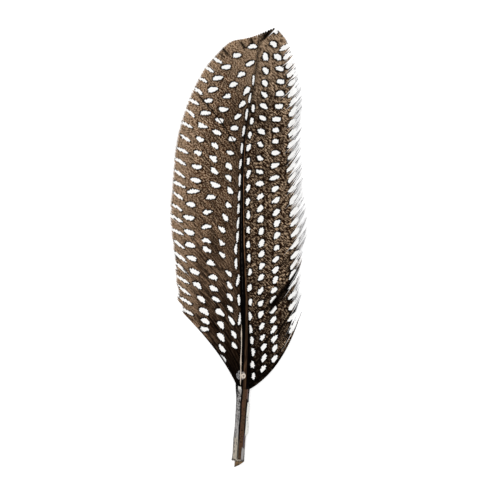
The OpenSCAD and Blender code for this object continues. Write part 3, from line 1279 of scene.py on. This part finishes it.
    def _bars(self, x: np.ndarray, y: np.ndarray, along: np.ndarray, roots: np.ndarray,
              spots: list[list[tuple[float, ...]]],
              jitter: np.ndarray) -> tuple[np.ndarray, np.ndarray]:
        """Find the pale bars that the spots leave on each barb.

        Args:
            x: the barbs' points, one row for each barb.
            y: the same points' places along the feather.
            along: distances along the barbs.
            roots: where the barbs leave the shaft.
            spots: the side's spots, by column.
            jitter: irregularities of each barb.

        Returns:
            The middles and half lengths of six bars for each barb; a bar that only comes near
            has a half length below zero.
        """
        count = len(roots)
        centres = np.full((count, BARS_PER_BARB), NO_BAR)
        halves = centres.copy()
        rows = np.arange(count)
        for column, column_spots in enumerate(spots):
            for cx, cy, half_length, half_width, lean, corner, turn in column_spots:
                dx, dy = x - cx, y - cy
                u = (dx * math.cos(lean) + dy * math.sin(lean)) / half_length
                v = (dy * math.cos(lean) - dx * math.sin(lean)) / half_width
                rim = 1 + corner * np.cos(3 * np.arctan2(v, u) + turn)
                depth = (rim - np.hypot(u, v)) * math.sqrt(half_length * half_width)
                best = depth.argmax(axis=1)
                top = depth[rows, best]
                inside = depth > 0
                start = along[rows, inside.argmax(axis=1)]
                stop = along[rows, depth.shape[1] - 1 - inside[:, ::-1].argmax(axis=1)]
                crossed = top > 0
                middle = np.where(crossed, (start + stop) / 2, along[rows, best])
                half = np.where(crossed, (stop - start) / 2, top)
                better = half > halves[:, column]
                centres[:, column] = np.where(better, middle, centres[:, column])
                halves[:, column] = np.where(better, half, halves[:, column])
        centres += 0.08 * jitter[2][:, None]
        halves *= 1 + 0.05 * jitter[3][:, None]
        return centres, halves


# ---- shaft ----


@dataclass
class Shaft:
    """The shaft's skin, its pale seam and the membrane over its pore."""

    plan: FeatherPlan
    rings: int = 90
    around: int = 28
    groove: float = 0.25
    seam_from: float = 14.2
    seam_to: float = 38.0
    seam_thick: float = 0.13
    seam_knots: Table = ((23.5, 2.2, 0.15), (34.0, 2.4, 0.14))
    seam_steps: int = 60
    seam_around: int = 8
    pore_x: float = -1.4
    pore_y: float = 18.1
    pore_half: float = 1.8
    pore_steps: int = 28
    pore_wall: float = 0.14

    def build(self, effects: SharedEffects) -> None:
        """Build the shaft's pieces.

        Args:
            effects: the shared node groups.
        """
        self._skin(ShaftFinish().build(effects))
        self._seam(PlainFinish("pale_seam", linear((236, 222, 206)), linear((198, 180, 160)),
                               0.5, 1800.0).build(effects))
        self._pore(PoreFinish().build(effects))

    def _point(self, s: float, angle: float, grow: float = 0.0) -> tuple[float, float, float]:
        """Point on the shaft's skin.

        Args:
            s: place along the shaft.
            angle: angle round it from its right flank.
            grow: how far the point stands off the skin.

        Returns:
            The point, in millimetres.
        """
        half = float(self.plan.shaft_half(s)) + grow
        up = math.sin(angle)
        depth = 1.0 if up >= 0 else 1.0 - self.groove * max(0.0, -up) ** 6
        return (float(self.plan.shaft_x(s)) + half * math.cos(angle), s,
                float(self.plan.shaft_z(s)) + half * up * depth)

    def _skin(self, material: bpy.types.Material) -> None:
        """Build the closed, grooved and tapering skin.

        Args:
            material: the piece's material.
        """
        bm = bmesh.new()
        skin = bm.verts.layers.float_vector.new("skin")
        start, end = self.plan.vane_start + 0.05, self.plan.shaft_end

        def ring(i: int) -> float:
            """Place of a ring; the first and last two close the ends."""
            return start + (end - start) * min(1, max(0, (i - 1) / (self.rings - 2)))

        def place(i: int, k: int) -> tuple[float, float, float]:
            """Point of the skin.

            Args:
                i: step along.
                k: step around.

            Returns:
                The point, in millimetres.
            """
            s = ring(i)
            if i in (0, self.rings):
                return (float(self.plan.shaft_x(s)), s, float(self.plan.shaft_z(s)))
            return self._point(s, 2 * math.pi * k / self.around)

        def note(i: int, k: int) -> tuple[float, float, float]:
            """Place, side and height on the skin."""
            angle = 2 * math.pi * k / self.around
            return (ring(i), math.cos(angle), math.sin(angle))

        wrapped_grid(bm, self.rings, self.around, place, {skin: note})
        finish_piece(bm, "shaft_skin", Slot.CORTEX, material, ["shaft_cortex"])

    def _seam(self, material: bpy.types.Material) -> None:
        """Build the thin pale ridge on the shaft's left shoulder.

        Args:
            material: the piece's material.
        """
        bm = bmesh.new()
        steps, around = self.seam_steps, self.seam_around

        def place(i: int, k: int) -> tuple[float, float, float]:
            """Point of the ridge.

            Args:
                i: step along.
                k: step around.

            Returns:
                The point, in millimetres.
            """
            t = i / steps
            s = self.seam_from + (self.seam_to - self.seam_from) * t
            angle = math.acos(-0.64 - 0.24 * min(1, t * 2.2))
            x, y, z = self._point(s, angle, -0.05)
            thick = self.seam_thick
            for knot, width, swell in self.seam_knots:
                thick += swell * math.exp(-((s - knot) / width) ** 2)
            thick *= math.sin(math.pi * min(t * 8, 0.5)) * min(1.0, (1 - t) * 5)
            thick *= 1 + 0.25 * noise.noise(Vector((s * 0.9, 0, 3)))
            lift = 0.05 + 0.4 * float(ease(2.4, 1.6, abs(s - self.pore_y)))
            turn = 2 * math.pi * k / around
            return (x + thick * math.cos(turn) * 1.3, y, z + thick * math.sin(turn) + lift)

        wrapped_grid(bm, steps, around, place, {})
        finish_piece(bm, "shaft_seam", Slot.MEMBRANE, material)

    def _pore(self, material: bpy.types.Material) -> None:
        """Build the crumpled, lens-shaped membrane that closed the pore.

        Args:
            material: the piece's material.
        """
        bm = bmesh.new()
        offset = bm.verts.layers.float_vector.new("pore")
        made = bmesh.ops.create_grid(bm, x_segments=self.pore_steps, y_segments=self.pore_steps,
                                     size=1.0)["verts"]
        for v in made:
            u, w = v.co.x, v.co.y
            x = u * math.sqrt(1 - w * w / 2) * self.pore_half
            y = w * math.sqrt(1 - u * u / 2) * self.pore_half * 1.06
            x *= 1 - 0.16 * math.exp(-(x / 0.3) ** 2)
            y *= 1 - 0.14 * math.exp(-((x - 0.15) / 0.35) ** 2) - 0.12 * max(0.0, x / self.pore_half)
            v[offset] = (x, y, 0.0)
            px, py = self.pore_x + x, self.pore_y + y
            half = float(self.plan.shaft_half(py))
            off = (px - float(self.plan.shaft_x(py))) / half
            top = math.sqrt(max(0.0, 1 - min(1.0, abs(off)) ** 2)) * half
            top += 0.35 * max(0.0, abs(off) - 0.8)
            rim = max(abs(u), abs(w)) ** 4
            fold = 0.16 * noise.noise(Vector((x * 1.4, y * 0.7, 1))) - 0.22 * rim
            ring_wall = 0.18 * math.exp(-((math.hypot(x - 0.85, y + 0.1) - 0.75) / 0.2) ** 2)
            pz = float(self.plan.shaft_z(py)) + max(top, 0.55) + 0.12 + fold + ring_wall
            v.co = Vector((px, py, pz)) * MM
        bmesh.ops.recalc_face_normals(bm, faces=bm.faces)
        bmesh.ops.solidify(bm, geom=bm.faces[:], thickness=self.pore_wall * MM)
        finish_piece(bm, "umbilicus_membrane", Slot.MEMBRANE, material, ["umbilicus"])


# ---- barrel ----


@dataclass
class Barrel:
    """The quill's barrel: papery sheath, horn tube with its nib, and pulp caps."""

    radius: float = 2.15
    wall: float = 0.09
    low: float = -14.3
    high: float = 13.1
    rings: int = 80
    around: int = 64
    tear: float = 0.55
    left_fold: Table = ((-14.3, 0.75), (-13, 0.42), (-6, 0.42), (0, 0.25), (6, 0.36), (9, 0.42),
                        (13.1, 0.95), (15.5, 1.2))
    right_fold: Table = ((-14.3, 0), (-5, 0), (-3.2, 0.8), (2, 0.6), (7.6, 0.5), (8.8, 0.1),
                         (13.1, 0.1))

    def build(self, effects: SharedEffects, nodes: dict[str, bpy.types.Object]) -> None:
        """Build the sheath and dress the CAD parts that stay.

        Args:
            effects: the shared node groups.
            nodes: the CAD nodes by name.
        """
        self._sheath(SheathFinish().build(effects))
        dress = {
            "horn_tube": PlainFinish("amber_horn", linear((142, 112, 76)), linear((38, 28, 20)),
                                     0.35, 1000.0),
            "pulp_caps": PlainFinish("dry_pulp", linear((150, 120, 92)), linear((104, 80, 60)),
                                     0.7, 2200.0),
            "shaft_pith": PlainFinish("foamy_pith", linear((226, 218, 200)), linear((196, 184, 160)),
                                      0.8, 3000.0, Surface(0.5, 0.12, 0.2)),
        }
        for name, finish in dress.items():
            material = finish.build(effects)
            node = nodes[name]
            if not node.material_slots:
                node.data.materials.append(material)
            for slot in node.material_slots:
                slot.material = material
            log.info("%s: kept, dressed in %s", name, material.name)

    def _sheath(self, material: bpy.types.Material) -> None:
        """Build the loose wrinkled skin with its torn lower end.

        Args:
            material: the piece's material.
        """
        bm = bmesh.new()
        skin = bm.verts.layers.float_vector.new("skin")

        def tear(angle: float) -> float:
            """How far the torn edge stands back at an angle."""
            c = Vector((math.cos(angle) * 2.2, math.sin(angle) * 2.2, 4.0))
            return self.tear * (0.5 + noise.noise(c) + 0.6 * noise.noise(c * 2.7))

        def at(i: int, k: int) -> tuple[float, float]:
            """Place along the barrel and angle round it.

            Args:
                i: step along.
                k: step around.

            Returns:
                The place, in millimetres, and the angle.
            """
            angle = 2 * math.pi * k / self.around
            t = i / self.rings
            low = self.low + max(0.0, tear(angle))
            side, up = math.cos(angle), math.sin(angle)
            high = self.high + 2.2 * max(0.0, -side) ** 9
            high += 0.8 * math.exp(-((side + 0.62) / 0.27) ** 2) * float(ease(0.0, 0.5, up))
            return low + (high - low) * t, angle

        def place(i: int, k: int) -> tuple[float, float, float]:
            """Point of the skin.

            Args:
                i: step along.
                k: step around.

            Returns:
                The point, in millimetres.
            """
            y, angle = at(i, k)
            c = Vector((math.cos(angle) * 1.6, y * 0.16, math.sin(angle) * 1.6))
            r = self.radius - 0.05 + 0.09 * noise.noise(c) + 0.05 * noise.noise(c * 3.1)
            side = math.cos(angle)
            fold = float(smooth(self.right_fold if side > 0 else self.left_fold, y)) * abs(side) ** 7
            return ((r + fold) * side, y, min(r, self.radius) * math.sin(angle))

        def note(i: int, k: int) -> tuple[float, float, float]:
            """Place, side and height on the skin."""
            x, y, z = place(i, k)
            return (y, x / self.radius, z / self.radius)

        wrapped_grid(bm, self.rings, self.around, place, {skin: note})
        bmesh.ops.remove_doubles(bm, verts=bm.verts, dist=MERGE_MM * MM)
        bmesh.ops.recalc_face_normals(bm, faces=bm.faces)
        bmesh.ops.solidify(bm, geom=bm.faces[:], thickness=self.wall * MM)
        finish_piece(bm, "sheath_skin", Slot.SHEATH, material, ["barrel_sheath"], merge=False)


# ---- studio ----


@dataclass(frozen=True)
class Studio:
    """Pale floor, soft light and the camera straight above."""

    floor_z: float = -2.2
    lean: float = 4.2
    centre: tuple[float, float] = (-1.5, 65.1)
    frame_width: float = 187.5
    lens: float = 100.0
    sensor: float = 36.0
    sky: float = 0.55
    floor_tone: float = 0.92
    floor_glow: float = 0.42
    floor_size: float = 3.0

    def build(self) -> None:
        """Build the floor, the lights and the camera."""
        self._floor()
        self._light("soft_overhead", (0.0, 0.1, 1.2), 1.1, 6.0)
        self._light("soft_side", (-0.9, 0.5, 0.9), 0.6, 2.6)
        world = bpy.data.worlds.new("studio")
        bpy.context.scene.world = world
        world.use_nodes = True
        back = world.node_tree.nodes["Background"]
        back.inputs["Color"].default_value = (1.0, 1.0, 1.0, 1.0)
        back.inputs["Strength"].default_value = self.sky
        self._camera()
        bpy.context.scene.view_settings.view_transform = "Standard"

    def _floor(self) -> None:
        """Build the floor."""
        bm = bmesh.new()
        bmesh.ops.create_grid(bm, x_segments=1, y_segments=1, size=self.floor_size)
        bmesh.ops.translate(bm, verts=bm.verts, vec=(0, 0, self.floor_z * MM))
        mesh = bpy.data.meshes.new("floor")
        bm.to_mesh(mesh)
        bm.free()
        material, _, shader = new_material("white_table")
        shader.inputs["Base Color"].default_value = (*(self.floor_tone,) * 3, 1.0)
        shader.inputs["Roughness"].default_value = 0.9
        shader.inputs["Specular IOR Level"].default_value = 0.0
        shader.inputs["Emission Color"].default_value = (1.0, 1.0, 1.0, 1.0)
        shader.inputs["Emission Strength"].default_value = self.floor_glow
        mesh.materials.append(material)
        floor = bpy.data.objects.new("floor", mesh)
        bpy.context.scene.collection.objects.link(floor)

    def _light(self, name: str, place: tuple[float, float, float], size: float, power: float) -> None:
        """Hang a square soft light that faces the feather.

        Args:
            name: the light's name.
            place: where it hangs, in metres.
            size: the length of its side, in metres.
            power: its power, in watts.
        """
        light = bpy.data.lights.new(name, "AREA")
        light.size = size
        light.energy = power
        lamp = bpy.data.objects.new(name, light)
        lamp.location = place
        aim = Vector((self.centre[0] * MM, self.centre[1] * MM, 0.0)) - Vector(place)
        lamp.rotation_euler = aim.to_track_quat("-Z", "Y").to_euler()
        bpy.context.scene.collection.objects.link(lamp)

    def _camera(self) -> None:
        """Hang the camera."""
        data = bpy.data.cameras.new("camera")
        data.lens = self.lens
        data.sensor_width = self.sensor
        data.clip_start = 0.01
        camera = bpy.data.objects.new("camera", data)
        height = self.frame_width * MM * self.lens / self.sensor
        camera.location = (self.centre[0] * MM, self.centre[1] * MM, height)
        camera.rotation_euler = (0.0, 0.0, math.radians(self.lean))
        bpy.context.scene.collection.objects.link(camera)
        bpy.context.scene.camera = camera


# ---- the feather's own numbers ----

# Webs: first and last root on the shaft, and how far the two end barbs' tips stray
LEFT_WEBS: Table = ((13, 30, 0, 0.3), (30, 47, 0.6, 0), (47, 64, 0, 0), (64, 82, 0, 0),
                    (82, 99, 0, 0.05), (99, 113, 0.05, 0), (113, 126, 0, 0), (126, 142, 0, 0))
RIGHT_WEBS: Table = ((13, 30, 0, 0.5), (30, 47, 0.5, 0), (47, 63, 0, 0), (63, 79, 0, 0.2),
                     (79, 95, 0.2, 0), (95, 111, 0, 0), (111, 126, 0, 0), (126, 142, 0, 0))

LEFT_SPOTS = (
    SpotColumn(((20, 0.02), (50, 0.022), (55, 0.06), (64, 0.075), (70, 0.035), (130, 0.02)),
               ((0, 38), (1, 45), (2, 52.5), (3, 57), (5, 68), (9, 90), (13, 115), (15, 128)),
               (4.8, 3.8), (1.25, 0.95), ((20, 95), (130, 88))),
    SpotColumn(((25, 0.12), (30, 0.14), (34, 0.185), (49, 0.195), (53, 0.3), (63, 0.3), (72, 0.22),
                (80, 0.2), (86, 0.25), (104, 0.24), (121, 0.15)),
               ((0, 25), (2, 32.3), (4, 40.5), (6, 49), (8, 56.5), (10, 67.8), (12, 80), (14, 87.7),
                (16, 98.5), (18, 109), (20, 121.5)),
               (3.5, 2.9), (1.35, 1.9), ((25, 122), (40, 128), (58, 142), (72, 130), (85, 138),
                                        (100, 170), (110, 215), (121, 235)), (0.04, 0.16)),
    SpotColumn(((13, 0.32), (29, 0.37), (33, 0.44), (43, 0.455), (48, 0.53), (60, 0.54), (68, 0.49),
                (75, 0.435), (84, 0.5), (110, 0.5), (124, 0.4), (131, 0.28)),
               ((0, 13.3), (2, 20.6), (4, 29), (6, 35.2), (8, 44), (10, 50.8), (12, 61.5), (14, 75),
                (16, 83.2), (18, 93.5), (20, 104), (22, 116.4), (24, 131)),
               (3.9, 3.3), (1.9, 1.8), ((13, 135), (30, 142), (36, 165), (46, 152), (56, 182),
                                        (66, 190), (76, 148), (98, 162), (108, 198), (131, 208)),
               (0.04, 0.16)),
    SpotColumn(((15, 0.6), (24, 0.61), (30, 0.7), (50, 0.76), (63, 0.73), (72, 0.7), (88, 0.725),
                (112, 0.75), (129, 0.67), (136, 0.59)),
               ((0, 15.5), (4, 29.5), (8, 47.5), (12, 69), (16, 90), (20, 112), (23, 136)),
               (4.3, 3.6), (1.9, 1.8), ((15, 172), (28, 145), (36, 165), (50, 170), (72, 180),
                                        (84, 148), (96, 185), (136, 190)), (0.04, 0.16)),
    SpotColumn(((15, 0.86), (25, 0.89), (45, 0.91), (75, 0.905), (100, 0.92), (112, 0.93),
                (120, 0.9), (133, 0.85)),
               ((0, 15), (4, 30), (8, 48), (12, 65.5), (16, 85), (20, 105.5), (22, 118)),
               (6.4, 3.4), (1.05, 1.3), ((15, 148), (133, 150))),
)
RIGHT_SPOTS = (
    SpotColumn(((17, 0.045), (28, 0.04), (38, 0.02), (45, 0.045), (60, 0.065), (117, 0.08)),
               ((0, 17), (2, 25.8), (4, 35), (6, 44.3), (8, 54.5), (12, 75.5), (16, 96), (20, 116.5)),
               (3.3, 2.7), (1.5, 1.3), ((17, 84), (34, 98), (50, 82), (64, 95), (85, 76), (117, 88))),
    SpotColumn(((16, 0.19), (26, 0.21), (44, 0.215), (55, 0.26), (75, 0.275), (95, 0.26), (112, 0.3),
                (132, 0.27)),
               ((0, 16.4), (4, 30), (8, 47.5), (12, 64), (16, 82), (20, 103), (24, 123.5), (26, 135)),
               (3.4, 2.8), (1.6, 2.1),
               ((16, 65), (44, 59), (76, 52), (90, -20), (112, -28), (135, -70))),
    SpotColumn(((15, 0.35), (24, 0.38), (38, 0.43), (48, 0.445), (56, 0.49), (90, 0.505), (104, 0.52),
                (111, 0.58), (122, 0.63), (135, 0.6)),
               ((0, 15.3), (4, 27.5), (8, 41), (12, 56.5), (16, 74.5), (20, 93.5), (24, 113.5),
                (28, 138)),
               (3.6, 2.9), (1.6, 2.1), ((15, 60), (45, 52), (72, 44), (88, 14), (112, 8), (135, -28))),
    SpotColumn(((15, 0.72), (40, 0.74), (80, 0.78), (104, 0.79), (120, 0.85), (135, 0.84)),
               ((0, 15.5), (8, 46), (16, 81), (24, 119), (27, 134)),
               (5.6, 4.0), (1.5, 1.7), ((15, 56), (100, 56), (135, 40))),
    SpotColumn(((140, 0.9), (142, 0.9)), ((0, 141.3), (1, 141.5)), (2.0, 2.0), (1.4, 1.4),
               ((140, 60), (142, 60))),
)
# Painted shade in the creases between clumps: root on the shaft, first and last share of the barb,
# width, strength
LEFT_CREASE_SHADES: Table = ((98.75, 0.02, 0.97, 0.5, 1.0), (30.2, 0.78, 0.95, 0.9, 1.0),
                       (32.4, 0.88, 1.1, 0.9, 1.0), (124.3, 0.76, 1.2, 0.9, 1.0),
                       (121.8, 0.8, 1.02, 0.7, 0.95), (133.0, 0.6, 0.95, 0.8, 1.0),
                       (136.6, 0.6, 1.0, 0.7, 1.0), (140.8, -0.2, 1.2, 2.2, 1.0))
RIGHT_CREASE_SHADES: Table = ((32.3, 0.3, 0.96, 2.2, 1.0), (36.4, 0.6, 0.95, 0.7, 0.95),
                        (80.0, 0.6, 0.88, 0.5, 0.95), (58.0, 0.7, 0.9, 0.45, 0.8),
                        (21.0, 0.5, 1.1, 4.0, 0.45))
FRINGE: Table = ((13, 0.86), (26, 0.82), (31, 0.9), (35, 0.9), (40, 0.8), (95, 0.79), (112, 0.86),
                 (124, 0.97), (142, 1.0))


def build_quill() -> None:
    """Build the quill and its studio."""
    logging.basicConfig(level=logging.INFO, format="%(name)s: %(message)s")
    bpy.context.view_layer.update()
    plan = FeatherPlan()
    effects = SharedEffects()
    Barrel().build(effects, frame["nodes"])
    Shaft(plan).build(effects)
    Vane(Side.LEFT, plan, LEFT_WEBS, LEFT_SPOTS, VaneFinish("left_vane"),
         clump=0.02, crease_shades=LEFT_CREASE_SHADES).build(effects)
    Vane(Side.RIGHT, plan, RIGHT_WEBS, RIGHT_SPOTS,
         VaneFinish("right_vane", mid=linear((50, 31, 18)), low_mid=linear((50, 31, 18)),
                    bars=(2.8, 0.55), hatch=1.0, low_hatch=1.0, bar_edge=(0.52, 0.575),
                    streaks=2.9, gain=(0.6, 1.0), edge=2.0, edge_tan=0.1, outer_gaps=1.0,
                    halo=1.5, hair_span=(0.48, 0.62)),
         loose_from=FRINGE, hair_width=0.17, clump=0.5, clump_power=6.0, uneven=0.03,
         hair_stray=0.7, blunt=0.25, short=0.4, crease_shades=RIGHT_CREASE_SHADES).build(effects)
    Studio().build()


if __name__ == "__main__":
    build_quill()
